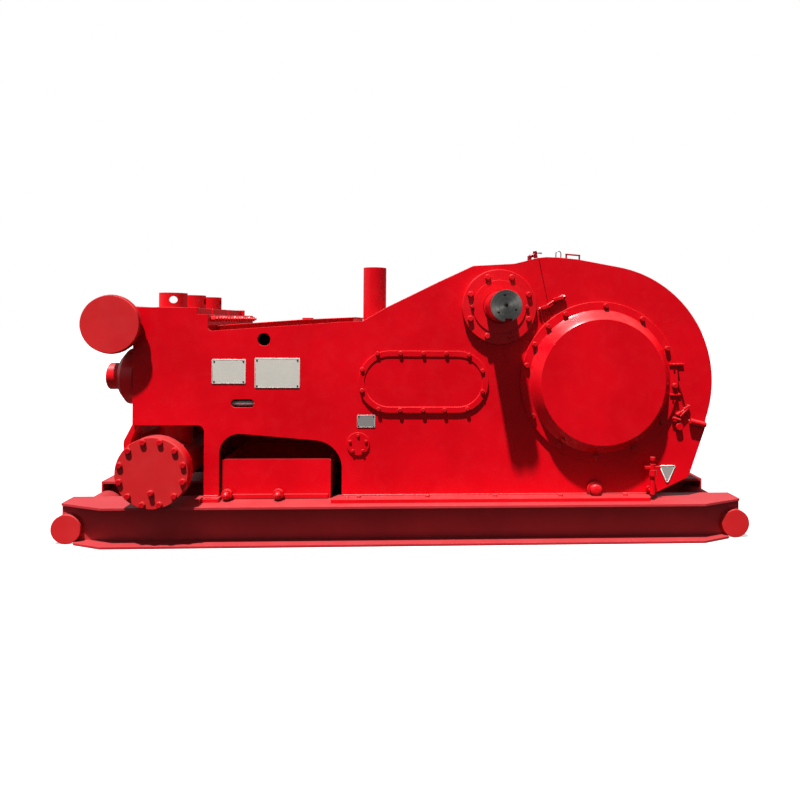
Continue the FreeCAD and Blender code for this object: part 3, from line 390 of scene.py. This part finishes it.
def soften(o, width):
    w = o.modifiers.new("weld", "WELD")
    w.merge_threshold = 0.00001
    d = o.modifiers.new("planar", "DECIMATE")
    d.decimate_type = "DISSOLVE"
    d.angle_limit = math.radians(0.4)
    s = o.modifiers.new("smooth", "NODES")
    s.node_group = SOFT
    b = o.modifiers.new("bevel", "BEVEL")
    b.segments = 2
    b.limit_method = "ANGLE"
    b.angle_limit = math.radians(32)
    b.use_clamp_overlap = False
    b.miter_outer = "MITER_ARC"
    f = o.modifiers.new("flat", "NODES")
    f.node_group = FLAT
    b.width = width * 0.1
    least = max(2e-6, 1.25 * unsound(o))
    best = None
    for k in (1.0, 0.75, 0.55, 0.4, 0.28, 0.18, 0.1):
        b.width = width * k
        bad = unsound(o)
        if best is None or bad < best[0]:
            best = (bad, width * k)
        if bad <= least:
            best = (bad, width * k)
            break
    b.width = best[1]
    return best[0], best[1]


for n, o in N.items():
    for s in o.material_slots:
        s.material = LOOK[n]
    bad, width = soften(o, EDGE[n])
    if bad > 2e-6:
        print("edge", n, "width", round(width * 1000, 2), "mm", "unsound", round(bad, 7))


# ---------------------------------------------------------------- geometry -
def at(p, n, spin=0.0):
    """Matrix whose Z axis points along n, at p (metres)."""
    z = Vector(n).normalized()
    x = Vector((0, 0, 1)).cross(z)
    if x.length < 1e-4:
        x = Vector((1, 0, 0))
    x.normalize()
    y = z.cross(x)
    m = Matrix(((x.x, y.x, z.x, p[0]), (x.y, y.y, z.y, p[1]), (x.z, y.z, z.z, p[2]), (0, 0, 0, 1)))
    return m @ Matrix.Rotation(spin, 4, "Z")


class Kit:
    """Collects small hardware in one mesh."""

    def __init__(self):
        self.bm = bmesh.new()

    def lathe(self, m, prof, n=24, close=(True, True), hexed=None, smooth=True):
        """prof: (radius, height) pairs. hexed: af of a hexagon that limits the given ring indices."""
        rings = []
        for i, (r, z) in enumerate(prof):
            ring = []
            for k in range(n):
                a = TAU * k / n
                rr = r
                if hexed and i in hexed[1]:
                    rr = (hexed[0] / 2) / math.cos(((a + math.pi / 6) % (math.pi / 3)) - math.pi / 6)
                    if i == hexed[2]:
                        z2 = z - max(0.0, rr - 0.95 * hexed[0] / 2) * 0.58
                        ring.append(self.bm.verts.new(m @ Vector((rr * math.cos(a), rr * math.sin(a), z2))))
                        continue
                ring.append(self.bm.verts.new(m @ Vector((rr * math.cos(a), rr * math.sin(a), z))))
            rings.append(ring)
        for a, b in zip(rings, rings[1:]):
            for k in range(n):
                f = self.bm.faces.new((a[k], a[(k + 1) % n], b[(k + 1) % n], b[k]))
                f.smooth = smooth
        if close[0]:
            self.bm.faces.new(list(reversed(rings[0])))
        if close[1]:
            self.bm.faces.new(rings[-1])
        return rings

    def hexagon(self, m, af, h, z0=0.0):
        e = 0.95 * af / 2
        self.lathe(m, [(0, z0), (0, z0 + h), (e, z0 + h), (e - 0.0006, z0 + h + 0.0002)], 24, (True, True), (af, (0, 1), 1), smooth=False)

    def washer(self, m, r, t, z0=0.0):
        self.lathe(m, [(r, z0), (r, z0 + t * 0.7), (r - t * 0.3, z0 + t)], 24, (False, True))

    def bolt(self, p, n, af, h=None, spin=None, washer=True):
        """Hex head bolt with a washer, on a face at p."""
        m = at(p, n, rng.uniform(0, TAU) if spin is None else spin)
        z = 0.0
        if washer:
            t = max(0.002, af * 0.10)
            self.washer(m, af * 0.60, t)
            z = t
        self.hexagon(m, af, h or af * 0.62, z)

    def nut(self, p, n, af, h, proud, rad, washer=True):
        """Washer, nut and the threaded end of its stud."""
        m = at(p, n, rng.uniform(0, TAU))
        t = af * 0.10
        if washer:
            self.washer(m, af * 0.62, t)
        self.hexagon(m, af, h, t)
        z = t + h
        prof = []
        turns = max(2, int(proud / 0.004))
        for i in range(turns):
            prof += [(rad * 0.90, z + proud * (i + 0.05) / turns), (rad, z + proud * (i + 0.5) / turns)]
        prof += [(rad * 0.86, z + proud)]
        self.lathe(m, prof, 16, (False, True))

    def socket_screw(self, p, n, r, h):
        m = at(p, n, rng.uniform(0, TAU))
        self.lathe(m, [(r, 0), (r, h * 0.8), (r * 0.9, h), (r * 0.55, h), (r * 0.5, h * 0.5)], 20, (True, True))

    def dome(self, p, n, r, h):
        m = at(p, n)
        prof = [(r, 0), (r, h * 0.25)] + [(r * math.cos(a), h * (0.25 + 0.75 * math.sin(a))) for a in (0.35, 0.7, 1.05, 1.35)]
        self.lathe(m, prof, 16, (False, True))

    def box(self, lo, hi, m=None):
        m = m or Matrix.Identity(4)
        v = [self.bm.verts.new(m @ Vector((x, y, z))) for x in (lo[0], hi[0]) for y in (lo[1], hi[1]) for z in (lo[2], hi[2])]
        for q in ((0, 1, 3, 2), (4, 6, 7, 5), (0, 4, 5, 1), (2, 3, 7, 6), (0, 2, 6, 4), (1, 5, 7, 3)):
            self.bm.faces.new([v[i] for i in q])

    def tube(self, pts, r, n=8, ripple=0.0, step=0.0075, closed=False, caps=True):
        """Round bar or weld bead along points. A bead has ripples."""
        pts = [Vector(p) for p in pts]
        if closed:
            pts = pts + [pts[0]]
        if ripple:
            out = [pts[0]]
            for a, b in zip(pts, pts[1:]):
                k = max(1, int((b - a).length / step))
                out += [a.lerp(b, (i + 1) / k) for i in range(k)]
            pts = out
        rings, side = [], None
        count = len(pts)
        for i, p in enumerate(pts):
            t = (pts[min(i + 1, count - 1)] - pts[max(i - 1, 0)]).normalized()
            if side is None:
                side = t.cross(Vector((0, 0, 1)))
                if side.length < 0.1:
                    side = t.cross(Vector((1, 0, 0)))
            side = (side - t * side.dot(t)).normalized()
            up = t.cross(side)
            rr = r
            if ripple:
                rr = r * (1 + ripple * (1 if i % 2 else -1) + rng.uniform(-0.10, 0.10))
            rings.append([self.bm.verts.new(p + side * (rr * math.cos(TAU * k / n)) + up * (rr * math.sin(TAU * k / n))) for k in range(n)])
        for a, b in zip(rings, rings[1:]):
            for k in range(n):
                f = self.bm.faces.new((a[k], a[(k + 1) % n], b[(k + 1) % n], b[k]))
                f.smooth = True
        if caps:
            self.bm.faces.new(list(reversed(rings[0])))
            self.bm.faces.new(rings[-1])

    def done(self, name, mat, body="pump", bevel=0.0):
        bmesh.ops.recalc_face_normals(self.bm, faces=self.bm.faces)
        me = bpy.data.meshes.new(name)
        self.bm.to_mesh(me)
        self.bm.free()
        me.materials.append(mat)
        o = bpy.data.objects.new(name, me)
        SC.collection.objects.link(o)
        if bevel:
            b = o.modifiers.new("bevel", "BEVEL")
            b.width = bevel
            b.segments = 2
            b.limit_method = "ANGLE"
            b.angle_limit = math.radians(35)
            b.harden_normals = True
        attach(o, body)
        return o


CASE = (1.378, 1.130)
PIN = (0.635, 1.668)
SIDES = ((-1, "near"), (1, "far"))
OUT = 0.640


def polar(c, r, deg):
    a = math.radians(deg)
    return c[0] + r * math.cos(a), c[1] + r * math.sin(a)


# ------------------------------------------------------ bolted round covers
for s, word in SIDES:
    k = Kit()
    for deg in (86, 56, 26, -3, -33, -63, -93, -123, -153, 118, 134, 151, 168):
        x, z = polar(CASE, 0.553, deg)
        k.bolt((x, s * (OUT + 0.025), z), (0, s, 0), 0.032, 0.020)
    # small plug low on the cone of the cover
    x, z = polar(CASE, 0.496, -124)
    d = Vector((math.cos(math.radians(-124)), s * 0.9, math.sin(math.radians(-124))))
    k.bolt((x, s * 0.692, z), d, 0.026, 0.016, washer=False)
    k.done("main_cover_bolts_" + word, RED_BOLT)

    k = Kit()
    for i in range(8):
        x, z = polar(PIN, 0.229, 22.5 + 45 * i)
        k.bolt((x, s * (OUT + 0.036), z), (0, s, 0), 0.036, 0.016)
    for deg in (0, 180):
        x, z = polar(PIN, 0.199, deg)
        k.bolt((x, s * (OUT + 0.036), z), (0, s, 0), 0.024, 0.013)
    k.done("pinion_housing_bolts_" + word, RED_BOLT)

    k = Kit()
    for x, z in ((-240, 1325), (-76, 1327), (90, 1327), (255, 1327), (420, 1318), (-349, 1210), (518, 1203), (-348, 1059), (519, 1054),
                 (-231, 926), (-76, 920), (90, 920), (245, 920), (410, 930)):
        k.bolt((x / 1000, s * (OUT + 0.015), z / 1000), (0, s, 0), 0.027, 0.0075)
    k.done("inspection_cover_bolts_" + word, RED_BOLT)

    k = Kit()
    for i in range(5):
        x, z = polar((-0.375, 0.676), 0.060, 90 + 72 * i)
        k.bolt((x, s * (OUT + 0.010), z), (0, s, 0), 0.019, 0.006)
    k.done("round_cover_bolts_" + word, RED_BOLT)

# --------------------------------------------------------- suction flanges
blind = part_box("suction_blind_flanges")
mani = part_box("suction_manifold")
SUC = (-1.735, 0.526)
for s, word in SIDES:
    k = Kit()
    face = blind[0].y if s < 0 else blind[1].y
    inner = s * 0.770
    for i in range(12):
        x, z = polar(SUC, 0.2159, 15 + 30 * i)
        k.bolt((x, face, z), (0, s, 0), 0.036, 0.0105)
        k.nut((x, inner, z), (0, -s, 0), 0.036, 0.024, 0.010, 0.0115)
    k.done("suction_flange_studs_" + word, RED_BOLT)
    k = Kit()
    m = at((SUC[0], face, SUC[1] - 0.131), (0, s, 0), 0.4)
    k.lathe(m, [(0.021, 0), (0.021, 0.009), (0.019, 0.011)], 20, (True, True))
    k.hexagon(m, 0.032, 0.011, 0.010)
    k.done("suction_flange_plug_" + word, RED_BOLT)

# ------------------------------------------------------------ wall studs
k = Kit()
for i in range(16):
    y = -0.5625 + 0.075 * i
    k.nut((-1.443, y, 1.566), (1, 0, 0), 0.036, 0.030, 0.016, 0.012)
k.done("front_wall_studs", RED_BOLT)

# ------------------------------------------------------- feet and skid holes
for s, word in SIDES:
    k = Kit()
    for x in (-0.363, 0.124, 0.610, 1.087, 1.563):
        k.bolt((x, s * 0.690, 0.305), (0, 0, 1), 0.030, 0.012, washer=True)
    k.done("foot_bolts_" + word, RED_BOLT)
    k = Kit()
    k.dome((-0.448, s * 0.678, 0.305), (0, 0, 1), 0.016, 0.009)
    k.dome((1.549, s * 0.789, 0.018), (0, 0, 1), 0.011, 0.003)
    k.dome((1.589, s * 0.790, 0.018), (0, 0, 1), 0.010, 0.003)
    k.done("skid_plugs_" + word, RED_BOLT)

# --------------------------------------------------------------- drain plugs
for s, word in SIDES:
    k = Kit()
    for x in (-1.296, -0.936):
        m = at((x, s * 0.674, 0.322), (0, s, 0), 0.35)
        k.hexagon(m, 0.046, 0.020)
        k.lathe(m, [(0.020, 0.020), (0.012, 0.030), (0.003, 0.034)], 20, (False, True))
    m = at((1.348, s * OUT, 0.345), (0, s, 0), 0.2)
    k.lathe(m, [(0.057, 0), (0.057, 0.015), (0.053, 0.019)], 32, (False, True))
    k.lathe(m, [(0.038, 0.018), (0.038, 0.034), (0.041, 0.036), (0.041, 0.050), (0.034, 0.058), (0.014, 0.061)], 32, (False, True))
    k.done("drain_plug_caps_" + word, RED_BOLT)

# ----------------------------------------------------------- blank plates
k = Kit()
frame_k = Kit()
for x0, x1, z0, z1, r in ((-1.412, -1.175, 1.103, 1.279, 0.0062), (-1.112, -0.793, 1.074, 1.289, 0.0065), (-0.384, -0.253, 0.791, 0.884, 0.005)):
    e = 0.016 if r > 0.0055 else 0.012
    for x in (x0 + e, x1 - e):
        for z in (z0 + e, z1 - e):
            k.dome((x, -OUT - 0.003, z), (0, -1, 0), r, 0.004)
    b = 0.0045
    a, c, lo, hi = x0 + b, x1 - b, z0 + b, z1 - b
    frame_k.tube([(a, -OUT - 0.003, lo), (c, -OUT - 0.003, lo), (c, -OUT - 0.003, hi), (a, -OUT - 0.003, hi)], 0.0013, 6, closed=True)
k.done("plate_rivets", DARK)
edge3 = [(1.838, 0.503), (1.842, 0.509), (1.946, 0.509), (1.950, 0.503), (1.9005, 0.392), (1.8975, 0.389), (1.8885, 0.389), (1.8855, 0.392)]
frame_k.tube([(x, -OUT - 0.003, z) for x, z in edge3], 0.0032, 6, closed=True)
frame_k.done("plate_rims", RIM)
inset = bmesh.new()
vs = [inset.verts.new((x, -OUT - 0.0035, z)) for x, z in ((1.851, 0.500), (1.937, 0.500), (1.940, 0.496), (1.897, 0.401), (1.889, 0.401), (1.848, 0.496))]
inset.faces.new(vs)
ext = bmesh.ops.extrude_face_region(inset, geom=inset.faces[:])
bmesh.ops.translate(inset, verts=[v for v in ext["geom"] if isinstance(v, bmesh.types.BMVert)], vec=(0, -0.0008, 0))
kk = Kit()
kk.bm.free()
kk.bm = inset
kk.done("triangle_plate_inset", PLATE_GREY)

# -------------------------------------------- clamps, straps, joint details
for s, word in SIDES:
    k = Kit()
    y = s * (OUT + 0.017)
    k.tube([(0.9890, y, 1.6830), (1.0990, y, 1.7530)], 0.010, 14)
    for p, d in (((0.943, y, 1.656), (-1, 0, -0.42)), ((1.101, y, 1.741), (1, 0, 0.40))):
        k.nut(p, d, 0.026, 0.014, 0.008, 0.008, washer=False)
    k.tube([(1.980, y, 0.900), (2.016, y, 0.928)], 0.007, 14)
    k.nut((2.036, y, 0.944), (1, 0, 0.7), 0.022, 0.012, 0.007, 0.006, washer=False)
    k.bolt((1.922, s * (OUT + 0.038), 1.264 - 0.007), (0, s, 0), 0.013, 0.006, washer=False)
    k.bolt((1.915, s * (OUT + 0.038), 1.035), (0, s, 0), 0.013, 0.006, washer=False)
    # bolt below the lower strap, a thin keeper rod and the hand screw of the rear clamp
    k.bolt((1.917, s * (OUT + 0.001), 0.978), (0, s, 0), 0.026, 0.014)
    k.tube([(1.9510, s * 0.6520, 1.1640), (1.9670, s * 0.6520, 1.1220), (1.9910, s * 0.6520, 1.0640), (2.0100, s * 0.6520, 1.0030), (2.0270, s * 0.6520, 0.9270)], 0.0045, 10)
    k.tube([(1.9050, s * 0.6480, 0.9470), (1.9080, s * 0.6480, 0.9130), (1.9100, s * 0.6480, 0.8700)], 0.006, 10)
    k.tube([(1.9220, s * 0.6580, 0.8640), (1.9800, s * 0.6580, 0.8480)], 0.011, 12)
    k.tube([(1.9780, s * 0.6620, 0.8760), (2.0330, s * 0.6620, 0.9300)], 0.008, 12)
    k.done("cover_clamp_bolts_" + word, RED_BOLT, bevel=0.0012)

# ------------------------------------------------------------ top fittings
k = Kit()
bow = [(1.064, -0.592, 2.026)] + [(1.0825 + 0.0185 * math.cos(math.pi - a), -0.592, 2.066 + 0.0185 * math.sin(a)) for a in [math.pi * i / 12 for i in range(13)]] + [(1.101, -0.592, 2.024)]
k.tube(bow, 0.0042, 12)
k.done("cover_lifting_bow", ZINC)
k = Kit()
m = at((0.936, -0.590, 2.0705), (1, 0, -0.16))
k.lathe(m, [(0.0058, -0.022), (0.0072, -0.018), (0.0072, 0.020), (0.0058, 0.024)], 16, (True, True))
k.done("cock_lever_sleeve", ZINC)
# grey flushing pipe behind the drip slots
k = Kit()
for q, word in SIDES:
    k.tube([(-1.420, q * 0.594, 0.961), (-0.930, q * 0.594, 0.961)], 0.019, 16)
k.done("flushing_pipes", PIPE_GREY)

# --------------------------------------------------------------- weld beads
for s, word in SIDES:
    k = Kit()
    y = s * (OUT + 0.002)
    k.tube([(-0.486, y, 0.307), (1.795, y, 0.307)], 0.0065, 7, 0.10)
    k.tube([(-1.461, y, 0.307), (-1.360, y, 0.307)], 0.0065, 7, 0.10)
    # case rim, top plate and deck seams, inside the plates
    yi = s * (OUT - 0.027)
    k.tube([(CASE[0] + 0.846 * math.cos(a), yi, CASE[1] + 0.846 * math.sin(a)) for a in [math.radians(79.8 - 98.3 * i / 90) for i in range(91)]], 0.006, 7, 0.08, 0.009)
    k.tube([(0.928, yi, 2.025), (0.985, yi, 2.031), (1.071, yi, 2.029), (1.213, yi, 2.017), (1.527, yi, 1.962)], 0.006, 7, 0.08, 0.009)
    k.tube([(0.915, yi, 2.022), (0.817, yi, 1.996), (0.748, yi, 1.979), (0.450, yi, 1.960), (0.206, yi, 1.844), (-0.175, yi, 1.654), (-0.340, yi, 1.556)], 0.006, 7, 0.08, 0.009)
    k.tube([(-0.350, yi, 1.528), (-0.503, yi, 1.522), (-0.892, yi, 1.491), (-1.436, yi, 1.450)], 0.006, 7, 0.08, 0.009)
    k.done("frame_weld_beads_" + word, RED_WELD)
k = Kit()
for s, word in SIDES:
    for end in (-1, 1):
        c = (end * 2.374, 0.103)
        for face in (s * (0.675 + 0.0065), s * (0.675 - 0.0065)):
            arc = [(c[0] - end * 0.104 * math.cos(a), face, c[1] + 0.104 * math.sin(a)) for a in [math.radians(-68 + 176 * i / 40) for i in range(41)]]
            k.tube(arc, 0.006, 7, 0.10)
k.done("skid_weld_beads", RED_WELD)
k = Kit()
ring = []
for i in range(40):
    a = TAU * i / 40
    x = -0.270 + 0.086 * math.cos(a)
    ring.append((x, -0.500 + 0.086 * math.sin(a), 1.5535 + (x + 0.342) * 0.5988 if x > -0.340 else 1.530))
k.tube(ring, 0.006, 7, 0.10, closed=True, caps=False)
for s, word in SIDES:
    for x in (-1.341, -0.574):
        k.tube([(x, s * 0.6125, 0.286), (x, s * 0.6125, 0.556)], 0.004, 7, 0.10)
    ringy = s * 0.7015
    k.tube([(-2.081 + 0.202 * math.cos(a), ringy, 1.521 + 0.202 * math.sin(a)) for a in [TAU * i / 72 for i in range(72)]], 0.005, 7, 0.08, closed=True, caps=False)
    k.tube([(-1.735 + 0.165 * math.cos(a), s * 0.768, 0.526 + 0.165 * math.sin(a)) for a in [TAU * i / 72 for i in range(72)]], 0.006, 7, 0.08, closed=True, caps=False)
k.done("fitting_weld_beads", RED_WELD)

# ------------------------------------------------------------------- stage -
KEY, SKY, FLOOR_BOUNCE = 10.4, (0.075, 0.35), 0.022
WINGS = 0.42
bpy.ops.mesh.primitive_plane_add(size=160, location=(0, 0, 0))
floor = bpy.context.object
floor.name = "studio_floor"
fm = Tree("floor_pale")
fm.put(fm.b.inputs["Base Color"], fm.mix(fm.span(fm.noise(0.7, 3, 0.5), 0.3, 0.7), (0.30, 0.30, 0.30), (0.32, 0.32, 0.32)))
fm.b.inputs["Roughness"].default_value = 0.9
fm.b.inputs["Specular IOR Level"].default_value = 0.1
fm.b.inputs["Emission Color"].default_value = (1, 1, 1, 1)
fm.b.inputs["Emission Strength"].default_value = 0.62
dim = fm.new("ShaderNodeBsdfDiffuse")
dim.inputs[0].default_value = (FLOOR_BOUNCE, FLOOR_BOUNCE, FLOOR_BOUNCE, 1)
ray = fm.new("ShaderNodeLightPath")
both = fm.new("ShaderNodeMixShader")
fm.t.links.new(ray.outputs["Is Camera Ray"], both.inputs[0])
fm.t.links.new(dim.outputs[0], both.inputs[1])
fm.t.links.new(fm.b.outputs[0], both.inputs[2])
fm.t.links.new(both.outputs[0], fm.out.inputs["Surface"])
floor.data.materials.append(fm.mat)
floor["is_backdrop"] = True

w = bpy.data.worlds.new("studio")
SC.world = w
w.use_nodes = True
t = w.node_tree
t.nodes.clear()
out = t.nodes.new("ShaderNodeOutputWorld")
mixs = t.nodes.new("ShaderNodeMixShader")
lp = t.nodes.new("ShaderNodeLightPath")
seen = t.nodes.new("ShaderNodeBackground")
seen.inputs[0].default_value = (1, 1, 1, 1)
seen.inputs[1].default_value = 1.0
lit = t.nodes.new("ShaderNodeBackground")
tc = t.nodes.new("ShaderNodeTexCoord")
sx = t.nodes.new("ShaderNodeSeparateXYZ")
t.links.new(tc.outputs["Generated"], sx.inputs[0])
mr = t.nodes.new("ShaderNodeMapRange")
mr.interpolation_type = "SMOOTHSTEP"
t.links.new(sx.outputs[2], mr.inputs["Value"])
for key, x in (("From Min", -0.05), ("From Max", 0.45), ("To Min", SKY[0]), ("To Max", SKY[1])):
    mr.inputs[key].default_value = x
wide = t.nodes.new("ShaderNodeMath")
wide.operation = "MULTIPLY"
wide.inputs[1].default_value = -1.0
t.links.new(sx.outputs[0], wide.inputs[0])
wing = t.nodes.new("ShaderNodeMapRange")
wing.interpolation_type = "SMOOTHSTEP"
t.links.new(wide.outputs[0], wing.inputs["Value"])
for key, x in (("From Min", 0.45), ("From Max", 0.95), ("To Min", 0.0), ("To Max", WINGS)):
    wing.inputs[key].default_value = x
total = t.nodes.new("ShaderNodeMath")
total.operation = "ADD"
t.links.new(mr.outputs[0], total.inputs[0])
t.links.new(wing.outputs[0], total.inputs[1])
t.links.new(total.outputs[0], lit.inputs[1])
lit.inputs[0].default_value = (0.90, 0.95, 1.0, 1)
t.links.new(lp.outputs["Is Camera Ray"], mixs.inputs[0])
t.links.new(lit.outputs[0], mixs.inputs[1])
t.links.new(seen.outputs[0], mixs.inputs[2])
t.links.new(mixs.outputs[0], out.inputs[0])


def lamp(name, kind, energy, direction, angle=0.2, size=3.0, colour=(1, 1, 1), dist=8.0, target=(0.1, 0, 0.9)):
    d = bpy.data.lights.new(name, kind)
    d.energy = energy
    d.color = colour
    v = Vector(direction).normalized()
    o = bpy.data.objects.new(name, d)
    SC.collection.objects.link(o)
    o.location = Vector(target) - v * dist
    o.rotation_mode = "QUATERNION"
    o.rotation_quaternion = v.to_track_quat("-Z", "Y")
    if kind == "SUN":
        d.angle = angle
    else:
        d.shape = "DISK"
        d.size = size
    return o


lamp("key_soft", "SUN", KEY, (0.625, 1.0, -3.475), angle=math.radians(1.8))

# ------------------------------------------------------------------ camera -
cx, D, cz, yaw, pitch, roll, f, px, py = (-0.069825, 4.930415, 1.561776, 0.049190, 0.000402, 0.007811, 594.464977, 430.872203, 320.696797)
dd = Vector((math.sin(yaw) * math.cos(pitch), math.cos(yaw) * math.cos(pitch), math.sin(pitch)))
rt = Vector((math.cos(yaw), -math.sin(yaw), 0))
up = rt.cross(dd)
R = rt * math.cos(roll) + up * math.sin(roll)
U = -rt * math.sin(roll) + up * math.cos(roll)
cam_d = bpy.data.cameras.new("main_camera")
cam = bpy.data.objects.new("main_camera", cam_d)
SC.collection.objects.link(cam)
cam.matrix_world = Matrix(((R.x, U.x, -dd.x, cx), (R.y, U.y, -dd.y, -D), (R.z, U.z, -dd.z, cz), (0, 0, 0, 1)))
cam_d.sensor_width = 36.0
cam_d.lens = f / 800 * 36.0
cam_d.shift_x = (400 - px) / 800
cam_d.shift_y = (py - 400) / 800
cam_d.clip_end = 300
SC.camera = cam
SC.view_settings.view_transform = "Standard"
SC.view_settings.exposure = 0.0

lo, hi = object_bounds()
